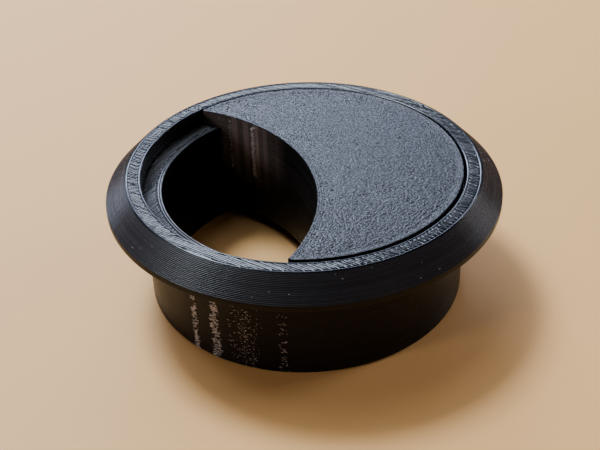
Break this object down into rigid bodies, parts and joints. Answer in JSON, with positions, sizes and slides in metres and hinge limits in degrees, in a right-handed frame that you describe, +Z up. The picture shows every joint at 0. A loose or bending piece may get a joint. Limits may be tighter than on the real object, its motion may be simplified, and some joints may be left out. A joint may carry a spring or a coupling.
{
  "type": "desk grommet",
  "caption": "Flanged round desk grommet for a 60 mm hole, with a loose crescent cover that turns in its recess to aim the cable opening.",
  "frame": {"origin": "centre of the sleeve's bottom end", "axes": "+Z up along the sleeve's axis, from the sleeve to the flange; the cable opening faces -X with the cover at rest; +Y completes the frame"},
  "size_m": [0.0728, 0.0728, 0.0242],
  "materials": {
    "body_print": "black printed plastic, 0.2 mm layer lines on the sleeve and cone, glossy diagonal strands on the flat ring and ledge",
    "cover_print": "black printed plastic, top face grainy from a textured print plate, layer lines on the skirt"
  },
  "bodies": {
    "grommet": {"grommet_body": "body_print"},
    "cover": {"crescent_cover": "cover_print"}
  },
  "joints": [
    {"name": "cover_turn", "type": "hinge", "parent": "grommet", "child": "cover", "pos_m": [0, 0, 0.021], "axis": [0, 0, 1], "continuous": true}
  ]
}
